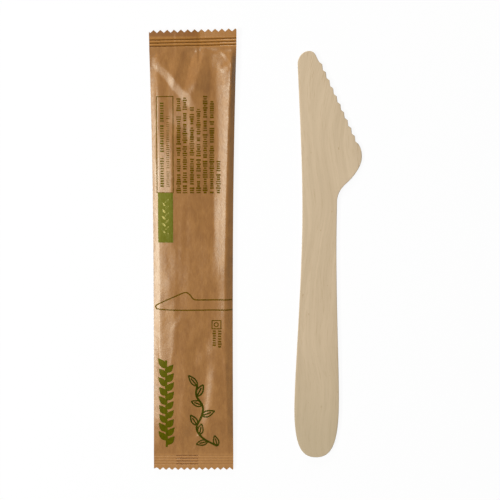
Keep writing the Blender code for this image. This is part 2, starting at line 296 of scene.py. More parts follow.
# Creases, in mm: path, distances across it, heights there, run-outs, softness, share left at the end
PLEATS = (
    (CORNER_PLEAT, (-6.0, 0.0, 3.1, 12.0), (0.0, -0.40, 0.40, 0.0), (0.6, 20.0), 0.30),
    (
        LONG_PLEAT,
        (-11.0, -1.4, 0.2, 1.8, 4.4, 8.0),
        (0.0, -1.16, -0.96, -0.36, 0.98, 0.90),
        (9.0, 26.0),
        0.5,
        0.3,
    ),
    (FOOT_STREAK, (-6.0, -1.6, -0.2, 2.4, 9.0), (0.0, -0.30, -0.26, 0.36, 0.0), (9.0, 3.0), 0.9),
    (((2.0, 82.4), (-2.6, 63.0)), (-6.0, -1.6, 2.4, 9.0), (0.0, -0.80, 0.50, 0.0), (1.0, 7.0)),
    (
        ((11.4, 82.4), (10.4, 72.4), (10.3, 64.0)),
        (-9.0, -3.2, 4.4, 6.4),
        (0.0, -0.26, 0.20, 0.14),
        (1.5, 11.0),
        0.5,
    ),
    (((2.1, 83.0), (2.0, 74.5)), (-2.2, -0.3, 0.3, 2.4), (0.0, 0.12, -0.20, 0.0), (0.3, 5.0), 0.12),
    (
        ((10.6, 80.6), (12.9, 77.0), (15.4, 73.6)),
        (-3.0, 0.0, 0.9, 3.0),
        (0.0, -0.20, 0.16, 0.0),
        (2.0, 1.2),
        0.15,
    ),
    (((10.2, 73.4), (14.2, 76.0)), (-2.4, 0.0, 1.4), (0.0, 0.13, 0.0), (1.6, 1.0)),
    (((-12.6, 77.4), (-11.0, 75.2)), (-1.5, 0.0, 1.0, 3.0), (0.0, -0.08, 0.10, 0.0), (0.8, 0.8)),
    (((-4.6, -22.5), (-8.8, -31.5)), (-5.0, -1.2, 0.8, 4.0), (0.0, -0.10, 0.10, 0.0), (3.0, 5.0)),
    (((2.0, -33.0), (1.5, -48.0)), (-5.0, -1.0, 1.0, 4.0), (0.0, -0.10, 0.10, 0.0), (5.0, 5.0), 0.8),
    (((-16.4, 80.0), (-16.0, 28.0)), (-2.0, -0.8, 2.3, 6.5), (0.0, 0.0, 0.50, 0.0), (5.0, 22.0)),
    (((-8.6, 60.0), (-8.2, 30.0), (-8.6, 0.0)), (-6.0, 0.0, 5.0), (0.0, 0.52, 0.0), (14.0, 16.0), 1.0),
    (((13.6, -40.0), (12.8, -52.0)), (-1.6, 0.0, 1.2), (0.0, 0.10, 0.0), (3.0, 3.0)),
    (((-0.8, -81.4), (1.6, -77.6)), (-1.6, -0.2, 0.7, 1.8), (0.0, 0.07, -0.08, 0.0), (1.2, 1.2), 0.4),
)

# Soft rises and hollows, in mm: centre, reach across and along, height, turn in degrees
DENTS = (
    ((-7.5, -48.0), (8.0, 26.0), 0.55),
    ((3.2, 70.5), (3.0, 3.6), 0.28, -30.0),
    ((7.6, 68.0), (3.2, 9.0), -0.24),
    ((13.4, 76.4), (7.0, 5.4), 0.90),
    ((-9.6, -12.5), (2.8, 5.0), 0.28),
    ((-7.6, 72.0), (1.6, 6.0), 0.08),
    ((2.2, -74.6), (0.9, 0.8), 0.30, 30.0),
    ((5.6, -75.0), (1.1, 0.8), 0.26, -40.0),
    ((3.8, -73.6), (0.8, 0.9), -0.10),
    ((4.0, -4.0), (1.6, 0.7), 0.05, 35.0),
    ((-3.0, 2.5), (2.4, 0.8), 0.05, -25.0),
)

# Lengthways ripples that the paper keeps from its roll and from the knife inside, in mm
STREAKS = dict(seed=SEED, count=46, across=(-13.0, 12.5), along=(-80.0, 80.0))
STREAKS.update(widths=(0.7, 2.4), lengths=(7.0, 34.0), height=0.12, turn=4.0)

# Broad hollows and rises in mm, fainter near the top seal, whose folds draw the paper taut
SLACK = dict(seed=SEED + 1, count=26, across=(-11.0, 9.0), along=(-78.0, 66.0))
SLACK.update(widths=(3.0, 6.0), lengths=(5.0, 16.0), height=0.46, turn=35.0)
TAUT_FROM = 46.0
TAUT_RUN = 12.0
TAUT_SLACK = 0.35


def ripples(u, v, seed, count, across, along, widths, lengths, height, turn):
    """Soft rises and hollows at random places."""
    chance = np.random.default_rng(seed)
    total = np.zeros(u.shape)
    for _ in range(count):
        centre = (chance.uniform(*across), chance.uniform(*along))
        reach = (chance.uniform(*widths), chance.uniform(*lengths))
        rise = chance.uniform(-height, height)
        total += dent(u, v, centre, reach, rise, chance.uniform(-turn, turn))
    return total


def relief(u, v):
    """Every fold, crease and ripple in the upper sheet."""
    taut = blend(1.0, TAUT_SLACK, ease((v / MM - TAUT_FROM) / TAUT_RUN))
    total = ripples(u, v, **STREAKS) + ripples(u, v, **SLACK) * taut
    for crease in PLEATS:
        total += pleat(u, v, *crease)
    for rise in DENTS:
        total += dent(u, v, *rise)
    return total * ease((SEAL_INNER - np.abs(v)) / RELIEF_FADE)


def rim_height(v):
    return blend(SEAL_HEIGHT, BODY_THICKNESS / 2, body_share(v))


def top_height(u, v):
    half = half_width(v)
    share = body_share(v)
    rim = rim_height(v) + RIM_THICKNESS / 2
    fold = np.minimum(left_fold(half + u), right_fold(half - u, v))
    crown = BODY_THICKNESS - CROWN * (u / half) ** 2 - CROWN_ROOM
    seal = SEAL_HEIGHT + SEAL_THICKNESS / 2 + fin_share(u, FIN_PRINT) * FIN_THICKNESS / 2
    seal = seal + rib_wave(u, v) + seal_twist(u, v)
    height = blend(seal, blend(rim, crown, fold), share) + relief(u, v) * np.minimum(fold, 1.0)
    return np.clip(height, under_height(u, v) + PLY_GAP, HIGHEST_FOLD)


def under_height(u, v):
    half = half_width(v)
    rim = rim_height(v) - RIM_THICKNESS / 2
    fold = np.sqrt(1.0 - (1.0 - np.clip((half - np.abs(u)) / UNDER_FOLD_ROUND, 0.0, 1.0)) ** 2)
    seal = SEAL_HEIGHT - SEAL_THICKNESS / 2 + rib_wave(u, v) + seal_twist(u, v)
    return blend(seal, blend(rim, FIN_CLEARANCE, fold), body_share(v))


def placed(u, v):
    """A sachet point moved for the slanted top cut and the lean of the centreline."""
    fade = ease(1.0 - (SEAL_INNER - v) / TOP_CUT_FADE)
    rise = TOP_CUT_RISE * u / SACHET_TOP_WIDTH * fade
    return u + SACHET_LEAN * v, v + rise


# Sachet: its grid, from the pinked foot cut to the pinked top cut

CORNER_COUNT = 26
CELLS_PER_CORNER = 4
EDGE_LINES = (0.12, 0.3, 0.6, 1.0)
EDGE_ROOM = 1.3  # where the even cells may begin, as a multiple of the last edge line's place
BODY_STEP = 0.00052
SEAL_STEP = 0.0002
CUT_ROWS = 4

# In teeth: from the left edge to the first valley of the cut, and right across
TOP_CUT = (0.17, 12.82)
FOOT_CUT = (0.50, 13.1)


def cut_corners(first, width_in_teeth):
    """Shares across the sachet where the pinked cut turns: the two edges and each tip and valley."""
    places = first + 0.5 * np.arange(CORNER_COUNT)
    return np.concatenate([[-1.0], places / width_in_teeth * 2.0 - 1.0, [1.0]])


TOP_CORNERS = cut_corners(*TOP_CUT)
FOOT_CORNERS = cut_corners(*FOOT_CUT)


def spread(corners):
    """The corners with even cells between them and a few close lines beside each edge."""
    cells = [np.linspace(a, b, CELLS_PER_CORNER, endpoint=False) for a, b in zip(corners, corners[1:])]
    shares = np.concatenate(cells + [[1.0]])
    close = np.array(EDGE_LINES) * MM / (SACHET_WAIST_WIDTH / 2)
    start = close[-1] * EDGE_ROOM
    inner = shares[(shares > -1.0 + start) & (shares < 1.0 - start)]
    return np.concatenate([[-1.0], -1.0 + close, inner, 1.0 - close[::-1], [1.0]])


def cut_depth(shares, corners):
    """How far the pinked cut lies inside its tooth tips, for shares across the sachet."""
    depth = np.where(np.arange(CORNER_COUNT) % 2 == 0, ZIGZAG_DEPTH, 0.0)
    edges = ZIGZAG_DEPTH * 0.5
    return np.interp(shares, corners, np.concatenate([[edges], depth, [edges]]))


def recounted(shares, count):
    """The same run of shares in another number of steps."""
    return np.interp(np.linspace(0, 1, count), np.linspace(0, 1, len(shares)), shares)


def sachet_grid():
    """u and v of every grid point, rows from foot to top."""
    half = SACHET_LENGTH / 2
    ends = [spread(corners) for corners in (TOP_CORNERS, FOOT_CORNERS)]
    columns = min(len(shares) for shares in ends)
    top_shares, foot_shares = [recounted(shares, columns) for shares in ends]
    seal = np.arange(SEAL_INNER, half - CUT_BAND, SEAL_STEP)[1:]
    body = np.linspace(-SEAL_INNER, SEAL_INNER, int(2 * SEAL_INNER / BODY_STEP))
    straight = np.concatenate([-seal[::-1], body, seal])
    rows = []
    for step in range(CUT_ROWS):
        cut = -half + cut_depth(foot_shares, FOOT_CORNERS)
        rows.append((foot_shares, blend(cut, straight[0], step / CUT_ROWS)))
    for v in straight:
        rows.append((blend(foot_shares, top_shares, ease(v / SACHET_LENGTH + 0.5)), np.full(columns, v)))
    for step in range(1, CUT_ROWS + 1):
        cut = half - cut_depth(top_shares, TOP_CORNERS)
        rows.append((top_shares, blend(straight[-1], cut, step / CUT_ROWS)))
    shares = np.array([row[0] for row in rows])
    v = np.array([row[1] for row in rows])
    return shares * half_width(v), v


def centred_on(node, x, y):
    """The shift that puts these points in the middle of a CAD node's box."""
    low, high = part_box(node)
    return (low.x + high.x - x.min() - x.max()) / 2, (low.y + high.y - y.min() - y.max()) / 2


GRID_U, GRID_V = sachet_grid()
SACHET_SHIFT = centred_on("paper_sachet", *placed(GRID_U, GRID_V))


def on_table(u, v):
    """x and y in the CAD frame of a place on the sachet."""
    x, y = placed(u, v)
    return x + SACHET_SHIFT[0], y + SACHET_SHIFT[1]


def make_sachet():
    upper = top_height(GRID_U, GRID_V)
    lower = under_height(GRID_U, GRID_V)
    return joined("sachet_paper", [grid_shell(*on_table(GRID_U, GRID_V), upper, lower)])


def make_fin():
    """The back seam: two sheets knurled together and folded flat under the sachet."""
    v = np.linspace(-SACHET_LENGTH / 2 + ZIGZAG_DEPTH, SACHET_LENGTH / 2 - ZIGZAG_DEPTH, FIN_ROWS)
    u = np.linspace(-FIN_LEFT, FIN_RIGHT, FIN_COLUMNS)
    u, v = np.meshgrid(u, v)
    wave = np.sin(math.pi * v / KNURL_PITCH) * np.sin(math.pi * u / KNURL_PITCH)
    knurl = KNURL_DEPTH * np.abs(wave)
    upper = under_height(u, v) - KNURL_DEPTH / 2
    lower = np.maximum(upper - FIN_THICKNESS + knurl, 0.0)
    return joined("sachet_fin", [grid_shell(*on_table(u, v), upper, lower)])


# Knife sizes, as in the CAD: heights run up from the handle's end
KNIFE_LENGTH = 0.165
KNIFE_THICKNESS = 0.0016
KNIFE_LEAN = math.radians(-0.35)
HANDLE_WIDTH = 0.0182
HANDLE_WIDEST = 0.0215
HANDLE_END_BLUNTNESS = 0.0056
HANDLE_END_SHOULDER = 0.004
TAPER_EASE = 0.027
TAPER_FOOT = 0.0145
NECK_WIDTH = 0.0137
NECK_TOP = 0.106
NECK_FOOT = 0.097
NECK_FILLET = 0.0033
THROAT = (0.0103, 0.1132)
THROAT_ANGLE = math.radians(42)
THROAT_LEAD_UP = 0.0041
THROAT_LEAD_DOWN = 0.0023
BELLY = (0.0164, 0.1237)
BELLY_RISE = 0.0026
BELLY_DROP = 0.0036
LAST_TOOTH = (0.0149, 0.1290)
LAST_TOOTH_LEAD = 0.0015
LAST_TOOTH_ANGLE = math.radians(-57)
TOOTH_COUNT = 11
TOOTH_LEAD = 0.0003
TOOTH_FLANK = 0.0022
TIP_WIDTH = 0.0088
TIP_BLUNTNESS = 0.0026
BACK_REACH = 0.0095
BACK_DROP = 0.005
BACK_EASE = 0.023
BACK_CURL = 0.010
BACK_FLARE = 0.0005
GRIND_START = 0.0036
GRIND_FOOT = 0.1175
GRIND_DEPTH = 0.0003

# Knife sizes that only its look needs, or where it differs a little from the CAD
GRIND_RUN_IN = 0.004
GRIND_SPREAD = 0.75  # share of its ease that the grinding has run through at the belly
GRIND_FULL = 1.1  # of the CAD's depth, where it would have run right through
TEETH_TOP = 0.1630
TEETH_LENGTH = 0.0340
FIRST_TOOTH_PLACE = -0.0014
FIRST_TOOTH_ANGLE = math.radians(125)
FIRST_TOOTH_LEAD = 0.0024
EDGE_ROUND = 0.0002
CURVE_STEPS = 40
NO_LENGTH = 1e-16  # in square metres
HANDLE_ROW_STEP = 0.0006
BLADE_ROW_STEP = 0.0003
CLOSE_ROWS = (0.01, 0.04, 0.08, 0.13, 0.2, 0.3, 0.45, 0.65, 0.95, 1.25)
CLOSE_COLUMNS = (0.0, 0.025, 0.06, 0.1, 0.15, 0.22)
INNER_COLUMNS = 30
NARROW_SHARE = 0.3  # of the width that the close columns take where the knife is narrow
CLOSEST_ROWS = 0.00003
GRAIN_RIPPLE = 0.000012
RIPPLE_ACROSS = 5200.0  # in radians to a metre
RIPPLE_ALONG = 45.0
RIPPLE_SWING = 1.7


def curve(start, start_handle, end_handle, end):
    """Points along one Bezier stretch, without its last point."""
    corners = [Vector((*point, 0.0)) for point in (start, start_handle, end_handle, end)]
    return [(point.x, point.y) for point in interpolate_bezier(*corners, CURVE_STEPS)[:-1]]


def stepped(point, angle, length):
    """The point this length away at this angle from +X."""
    return (point[0] + length * math.cos(angle), point[1] + length * math.sin(angle))


def handle_side(side):
    """From the neck down one side of the handle and round to the middle of its end."""
    neck = side * NECK_WIDTH / 2
    widest = side * HANDLE_WIDTH / 2
    taper = curve(
        (neck, NECK_FOOT),
        (neck, NECK_FOOT - TAPER_EASE),
        (widest, HANDLE_WIDEST + TAPER_FOOT),
        (widest, HANDLE_WIDEST),
    )
    end = curve(
        (widest, HANDLE_WIDEST), (widest, HANDLE_END_SHOULDER), (side * HANDLE_END_BLUNTNESS, 0.0), (0.0, 0.0)
    )
    return taper + end + [(0.0, 0.0)]


def teeth():
    """The serrated edge down to the belly: long flanks and short steps out. The tip is the first flank."""
    left = FIRST_TOOTH_PLACE
    run = (LAST_TOOTH[0] - left) / TOOTH_COUNT
    drop = TEETH_LENGTH / TOOTH_COUNT
    points = []
    for index in range(TOOTH_COUNT):
        x = left + run * index
        y = TEETH_TOP - drop * index
        points += [(x, y), (x + TOOTH_LEAD, y - TOOTH_FLANK)]
    return points[1:]


def belly():
    """From the last tooth round the blade's widest place and in to the neck."""
    neck = (NECK_WIDTH / 2, NECK_TOP)
    off_tooth = stepped(LAST_TOOTH, LAST_TOOTH_ANGLE, LAST_TOOTH_LEAD)
    above_throat = stepped(THROAT, THROAT_ANGLE, THROAT_LEAD_UP)
    below_throat = stepped(THROAT, THROAT_ANGLE, -THROAT_LEAD_DOWN)
    return (
        curve(LAST_TOOTH, off_tooth, (BELLY[0], BELLY[1] + BELLY_RISE), BELLY)
        + curve(BELLY, (BELLY[0], BELLY[1] - BELLY_DROP), above_throat, THROAT)
        + curve(THROAT, below_throat, (neck[0], neck[1] + NECK_FILLET), neck)
    )


def back():
    """From the neck up the blade's back to the crown of the tip."""
    neck = -NECK_WIDTH / 2
    shoulder = (-BACK_REACH, KNIFE_LENGTH - BACK_DROP)
    crown = (TIP_WIDTH / 2 - BACK_REACH, KNIFE_LENGTH)
    below_shoulder = (-BACK_REACH + BACK_FLARE, shoulder[1] - BACK_CURL)
    above_shoulder = (-BACK_REACH, shoulder[1] + TIP_BLUNTNESS)
    rise = curve((neck, NECK_FOOT), (neck, NECK_FOOT + BACK_EASE), below_shoulder, shoulder)
    tip = curve(shoulder, above_shoulder, (crown[0] - TIP_BLUNTNESS, KNIFE_LENGTH), crown)
    return rise + tip + [crown]


def tip_right():
    """From the crown of the tip down to the first tooth."""
    crown = (TIP_WIDTH / 2 - BACK_REACH, KNIFE_LENGTH)
    first = teeth()[0]
    above_first = stepped(first, FIRST_TOOTH_ANGLE, FIRST_TOOTH_LEAD)
    return curve(crown, (crown[0] + TIP_BLUNTNESS, KNIFE_LENGTH), above_first, first)


def knife_sides():
    """The knife's left and right side, each with its heights rising."""
    left = handle_side(-1.0)[::-1] + back()
    right = (tip_right() + teeth() + belly() + handle_side(1.0))[::-1]
    return np.array(left), np.array(right)


def outline_distance(x, y, outline):
    """Distance in from the outline for every grid point."""
    nearest = np.full(x.shape, np.inf)
    for (x0, y0), (x1, y1) in zip(outline, np.roll(outline, -1, axis=0)):
        dx = x1 - x0
        dy = y1 - y0
        size = dx * dx + dy * dy
        if size < NO_LENGTH:
            continue
        t = np.clip(((x - x0) * dx + (y - y0) * dy) / size, 0.0, 1.0)
        nearest = np.minimum(nearest, np.hypot(x - x0 - t * dx, y - y0 - t * dy))
    return nearest


def knife_rows():
    """Heights of the grid's rows: close at both ends, and one at every corner of the teeth."""
    close = np.array(CLOSE_ROWS) * MM
    handle = np.arange(close[-1], NECK_FOOT, HANDLE_ROW_STEP)
    blade = np.arange(NECK_FOOT, KNIFE_LENGTH - close[-1], BLADE_ROW_STEP)
    corners = [y for _, y in teeth()]
    rows = np.unique(np.concatenate([close, handle, blade, corners, KNIFE_LENGTH - close]))
    keep = np.concatenate([[True], np.diff(rows) > CLOSEST_ROWS])
    return rows[keep]


def grind(x, y):
    """How far the blade is ground down towards its teeth."""
    reach = ease((x - GRIND_START) / (BELLY[0] - GRIND_START) * GRIND_SPREAD) * GRIND_FULL
    return GRIND_DEPTH * reach * ease((y - GRIND_FOOT) / GRIND_RUN_IN + 0.5)


def make_knife():
    left, right = knife_sides()
    rows = knife_rows()
    x_left = np.interp(rows, left[:, 1], left[:, 0])
    x_right = np.interp(rows, right[:, 1], right[:, 0])
    width = x_right - x_left
    close = np.array(CLOSE_COLUMNS) * MM
    near = np.minimum(close[None, :], width[:, None] * close[None, :] / close[-1] * NARROW_SHARE)
    inner = np.linspace(0.0, 1.0, INNER_COLUMNS + 2)[1:-1]
    first = x_left[:, None] + near
    last = x_right[:, None] - near[:, ::-1]
    between = blend(first[:, -1:], last[:, :1], inner[None, :])
    x = np.concatenate([first, between, last], axis=1)
    y = np.repeat(rows[:, None], x.shape[1], axis=1)
    outline = np.concatenate([left, right[::-1]])
    inside = np.minimum(outline_distance(x, y, outline), EDGE_ROUND)
    inside[:, 0] = 0.0
    inside[:, -1] = 0.0
    drop = EDGE_ROUND - np.sqrt(np.maximum(EDGE_ROUND**2 - (EDGE_ROUND - inside) ** 2, 0.0))
    ripple = GRAIN_RIPPLE * np.sin(x * RIPPLE_ACROSS + np.sin(y * RIPPLE_ALONG) * RIPPLE_SWING)
    ripple = ripple * (inside >= EDGE_ROUND)
    upper = KNIFE_THICKNESS - drop - grind(x, y) + ripple - GRAIN_RIPPLE
    along = y - KNIFE_LENGTH / 2
    turned_x = x * math.cos(KNIFE_LEAN) - along * math.sin(KNIFE_LEAN)
    turned_y = x * math.sin(KNIFE_LEAN) + along * math.cos(KNIFE_LEAN)
    shift = centred_on("wooden_knife", turned_x, turned_y)
    return joined("knife_blank", [grid_shell(turned_x + shift[0], turned_y + shift[1], upper, drop)])


# Nodes and colours


def linear(code):
    """A colour written as sRGB hex, as the linear colour that a socket takes."""
    channels = [int(code[place : place + 2], 16) / 255 for place in (0, 2, 4)]
    return (*[c / 12.92 if c <= 0.04045 else ((c + 0.055) / 1.055) ** 2.4 for c in channels], 1.0)


def add(tree, kind, inputs=None, **settings):
    """Add a node and set it up. An input takes a value, a socket, or a node for its first output."""
    item = tree.nodes.new(kind)
    for name, value in settings.items():
        setattr(item, name, value)
    for name, value in (inputs or {}).items():
        if isinstance(value, bpy.types.Node):
            value = next(socket for socket in value.outputs if socket.enabled)
        if isinstance(value, bpy.types.NodeSocket):
            tree.links.new(value, item.inputs[name])
        else:
            item.inputs[name].default_value = value
    return item


# Print: flat shells of ink, laid out in mm in the sachet's own axes and dropped onto the paper

INK_FILM = 0.00005
INK_CELL = 0.4
LEAF_BIAS = 0.8  # below 1, a leaf is widest nearer its foot
LEAF_POINT = 0.05
LEAF_CELLS = 7
OUTLINE_POINTS = 12
OUTLINE_CELL = 0.5
VEIN_SHARE = 0.72
ABOVE_PAPER = 0.05
RAY_LENGTH = 0.1


def in_place(points):
    """x and y in the CAD frame of layout points in mm."""
    return on_table(points[..., 0] * MM, points[..., 1] * MM)


def loose(points):
    """x and y of a mark that is drawn round the origin, in mm."""
    return points[..., 0] * MM, points[..., 1] * MM


def resampled(path, step):
    """Points at even steps along a path, and the share of its length at each."""
    path = np.array(path, float)
    runs = np.concatenate([[0.0], np.cumsum(np.hypot(*np.diff(path, axis=0).T))])
    places = np.linspace(0.0, runs[-1], max(int(runs[-1] / step), 2) + 1)
    return np.stack([np.interp(places, runs, path[:, axis]) for axis in (0, 1)], axis=-1), places / runs[-1]


def rounded(path, rounds=3):
    """A path with its corners cut off evenly, its ends kept."""
    path = np.array(path, float)
    for _ in range(rounds):
        early = path[:-1] * 0.75 + path[1:] * 0.25
        late = path[:-1] * 0.25 + path[1:] * 0.75
        between = np.stack([early, late], axis=1).reshape(-1, 2)
        path = np.concatenate([path[:1], between, path[-1:]])
    return path


def upright(u, low, high):
    """A straight path along the sachet."""
    return [(u, low), (u, high)]


def ribbon(path, width, cells=1, shape=None, at=in_place, step=INK_CELL):
    """A flat shell of ink along a path in mm. shape scales its width for each share of the run."""
    points, share = resampled(path, step)
    heading = np.gradient(points, axis=0)
    heading /= np.hypot(heading[:, 0], heading[:, 1])[:, None]
    right = np.stack([heading[:, 1], -heading[:, 0]], axis=-1)
    wide = width / 2 * (shape(share) if shape else np.ones(len(share)))
    across = np.linspace(-1.0, 1.0, cells + 1)
    grid = points[:, None, :] + right[:, None, :] * (wide[:, None] * across[None, :])[..., None]
    x, y = at(grid)
    return grid_shell(x, y, np.full(x.shape, INK_FILM), np.full(x.shape, -INK_FILM))


def leaf_shape(share):
    """A leaf's width along its midrib: broad early, then a long point."""
    return np.maximum(np.sin(math.pi * share**LEAF_BIAS), LEAF_POINT)


def leaf(length, width):
    return ribbon(upright(0.0, 0.0, length), width, 2, leaf_shape, loose, length / LEAF_CELLS)


def open_leaf(length, width, line):
    """A leaf drawn as an outline with one vein."""
    share = np.linspace(0.0, 1.0, OUTLINE_POINTS)
    side = np.stack([width / 2 * np.sin(math.pi * share**LEAF_BIAS), length * share], axis=-1)
    paths = (side, side * (-1.0, 1.0), upright(0.0, 0.0, length * VEIN_SHARE))
    return [ribbon(path, line, 1, None, loose, OUTLINE_CELL) for path in paths]


def block(width, length):
    """One short bar of type, across the line of text."""
    return ribbon(upright(0.0, -length / 2, length / 2), width, 3, None, loose, length / 2)


def box_sides(left, right, low, high, line):
    """Four strokes round a box: the upright ones run past its corners, the others end inside them."""
    reach = line / 2
    return [
        ribbon(upright(left, low - reach, high + reach), line),
        ribbon(upright(right, low - reach, high + reach), line),
        ribbon([(left, low), (right, low)], line),
        ribbon([(left, high), (right, high)], line),
    ]


def print_tree():
    """Marks set along lines, joined with plain strokes and dropped onto the paper."""
    tree = bpy.data.node_groups.new("print_along_lines", "GeometryNodeTree")
    sockets = {
        "Lines": "Geometry",
        "Strokes": "Object",
        "Mark": "Object",
        "Paper": "Object",
        "Ink": "Material",
        "Spacing": "Float",
        "Turn": "Float",
        "Smallest": "Vector",
        "Largest": "Vector",
        "Kept": "Float",
        "Seed": "Int",
    }
    for name, kind in sockets.items():
        tree.interface.new_socket(name, in_out="INPUT", socket_type="NodeSocket" + kind)
    tree.interface.new_socket("Print", in_out="OUTPUT", socket_type="NodeSocketGeometry")
    given = add(tree, "NodeGroupInput").outputs
    mark, strokes, paper = [
        add(tree, "GeometryNodeObjectInfo", {"Object": given[name]}).outputs["Geometry"]
        for name in ("Mark", "Strokes", "Paper")
    ]

    # A mark at each place along the lines, turned to them, leaning to either side by turns
    lines = add(tree, "GeometryNodeMeshToCurve", {"Mesh": given["Lines"]})
    spaced = {"Curve": lines, "Length": given["Spacing"]}
    places = add(tree, "GeometryNodeCurveToPoints", spaced, mode="LENGTH").outputs
    run = add(tree, "ShaderNodeSeparateXYZ", {"Vector": places["Tangent"]}).outputs
    heading = add(tree, "ShaderNodeMath", {0: run["X"], 1: run["Y"]}, operation="ARCTAN2")
    index = add(tree, "GeometryNodeInputIndex")
    parity = add(tree, "ShaderNodeMath", {0: index, 1: 2.0}, operation="MODULO")
    side = add(tree, "ShaderNodeMath", {0: parity, 1: 2.0, 2: -1.0}, operation="MULTIPLY_ADD")
    lean = add(tree, "ShaderNodeMath", {0: side, 1: given["Turn"]}, operation="MULTIPLY")
    angle = add(tree, "ShaderNodeMath", {0: lean, 1: heading}, operation="SUBTRACT")
    limits = {0: given["Smallest"], 1: given["Largest"], "Seed": given["Seed"]}
    chance = {"Probability": given["Kept"], "Seed": given["Seed"]}
    marking = {
        "Points": places["Points"],
        "Selection": add(tree, "FunctionNodeRandomValue", chance, data_type="BOOLEAN"),
        "Instance": mark,
        "Rotation": add(tree, "ShaderNodeCombineXYZ", {"Z": angle}),
        "Scale": add(tree, "FunctionNodeRandomValue", limits, data_type="FLOAT_VECTOR"),
    }
    marks = add(tree, "GeometryNodeInstanceOnPoints", marking)
    both = add(tree, "GeometryNodeJoinGeometry", {0: marks})
    tree.links.new(strokes, both.inputs[0])
    flat = add(tree, "GeometryNodeRealizeInstances", {"Geometry": both})

    # Every point lifted by the height of the paper under it
    here = add(tree, "GeometryNodeInputPosition")
    place = add(tree, "ShaderNodeSeparateXYZ", {"Vector": here}).outputs
    above = add(tree, "ShaderNodeCombineXYZ", {"X": place["X"], "Y": place["Y"], "Z": ABOVE_PAPER})
    down = {
        "Target Geometry": paper,
        "Source Position": above,
        "Ray Direction": (0.0, 0.0, -1.0),
        "Ray Length": RAY_LENGTH,
    }
    found = add(tree, "GeometryNodeRaycast", down).outputs
    height = add(tree, "ShaderNodeSeparateXYZ", {"Vector": found["Hit Position"]}).outputs["Z"]
    lift = add(tree, "ShaderNodeCombineXYZ", {"Z": height})
    lifted = {"Geometry": flat, "Selection": found["Is Hit"], "Offset": lift}
    dropped = add(tree, "GeometryNodeSetPosition", lifted)
    real = add(tree, "GeometryNodeRealizeInstances", {"Geometry": dropped})
    inked = add(tree, "GeometryNodeSetMaterial", {"Geometry": real, "Material": given["Ink"]})
    add(tree, "NodeGroupOutput", {0: inked})
    return tree


def printed(
    tree, paper, name, ink, lines=(), mark=(), strokes=(),
    spacing=1.0, turn=0.0, widths=(1.0, 1.0), lengths=(1.0, 1.0), kept=1.0, seed=0,
):
    """One printed piece: its marks along its lines and its plain strokes, as a plain mesh on the paper.

    The spacing is in mm and the turn in degrees. Widths and lengths scale the mark, from least to most.
    """
    points = []
    edges = []
    for path in lines:
        x, y = in_place(resampled(path, INK_CELL)[0])
        edges += [(len(points) + step, len(points) + step + 1) for step in range(len(x) - 1)]
        points += [(a, b, 0.0) for a, b in zip(x, y)]
    item = mesh_object(name, points, [], edges)
    helpers = [joined(name + "_part", shells) for shells in (mark, strokes) if shells]
    values = {
        "Mark": helpers[0] if mark else None,
        "Strokes": helpers[-1] if strokes else None,
        "Paper": paper,
        "Ink": ink,
        "Spacing": spacing * MM,
        "Turn": math.radians(turn),
        "Smallest": (widths[0], lengths[0], 1.0),
        "Largest": (widths[1], lengths[1], 1.0),
        "Kept": kept,
        "Seed": SEED + seed,
    }
    modifier = item.modifiers.new("print", "NODES")
    modifier.node_group = tree
    for socket in tree.interface.items_tree:
        if socket.in_out == "INPUT" and values.get(socket.name) is not None:
            modifier[socket.identifier] = values[socket.name]
    view = bpy.context.evaluated_depsgraph_get()
    item.data = bpy.data.meshes.new_from_object(item.evaluated_get(view), depsgraph=view)
    item.modifiers.clear()
    for helper in helpers:
        bpy.data.objects.remove(helper, do_unlink=True)
    smooth(item)
    return finished(item)


# Where the print lies, in mm: across from the centreline, and along from the middle
NOTE_FRAME = (-14.28, -7.8, 25.75, 63.64)
NOTE_LINE = 0.34
NOTE_HEADING = (-12.2, 28.4, 61.0)
NOTE_SUBHEADING = (-9.85, 28.4, 55.8)
GREEN_FIELD = (-13.95, -7.9, 5.8, 25.75)
FIELD_CELLS = 18
FIELD_LEAVES = (-11.0, 8.2, 21.8)
TEXT_FOOT = 25.8
TEXT_COLUMNS = (
    (-5.6, 62.6), (-3.15, 62.9), (-0.37, 59.1), (2.22, 58.5), (4.82, 63.4), (7.46, 61.4),
    (10.08, 38.0),
)
KNIFE_DRAWING = (
    (15.75, -17.5), (1.2, -17.5), (0.2, -17.3), (-1.6, -14.9), (-2.6, -14.3), (-4.0, -14.5),
    (-14.9, -19.5), (-15.3, -20.6), (-14.4, -21.67), (15.75, -21.67),
)
DRAWING_LINE = 0.5
DRAWING_CELL = 0.3
SQUARE = (7.6, 11.2, -29.4, -26.0)
SQUARE_LINE = 0.40
RING = (9.3, -27.7, 0.85)
RING_LINE = 0.42
RING_POINTS = 17
RING_TURN = math.radians(368)  # a little more than once round, so that its ends overlap
SMALL_ROWS = ((8.5, -36.2, -30.4), (10.7, -36.8, -30.4))
GARLAND_STEM = (-11.0, -79.4, -42.4)
GARLAND_LEAVES = (-11.0, -78.4, -45.6)
SPRIG_STEM = (
    (9.8, -79.0), (3.4, -75.5), (0.6, -71.0), (3.6, -66.0), (4.2, -61.5), (0.8, -57.5),
    (1.6, -53.2),
)


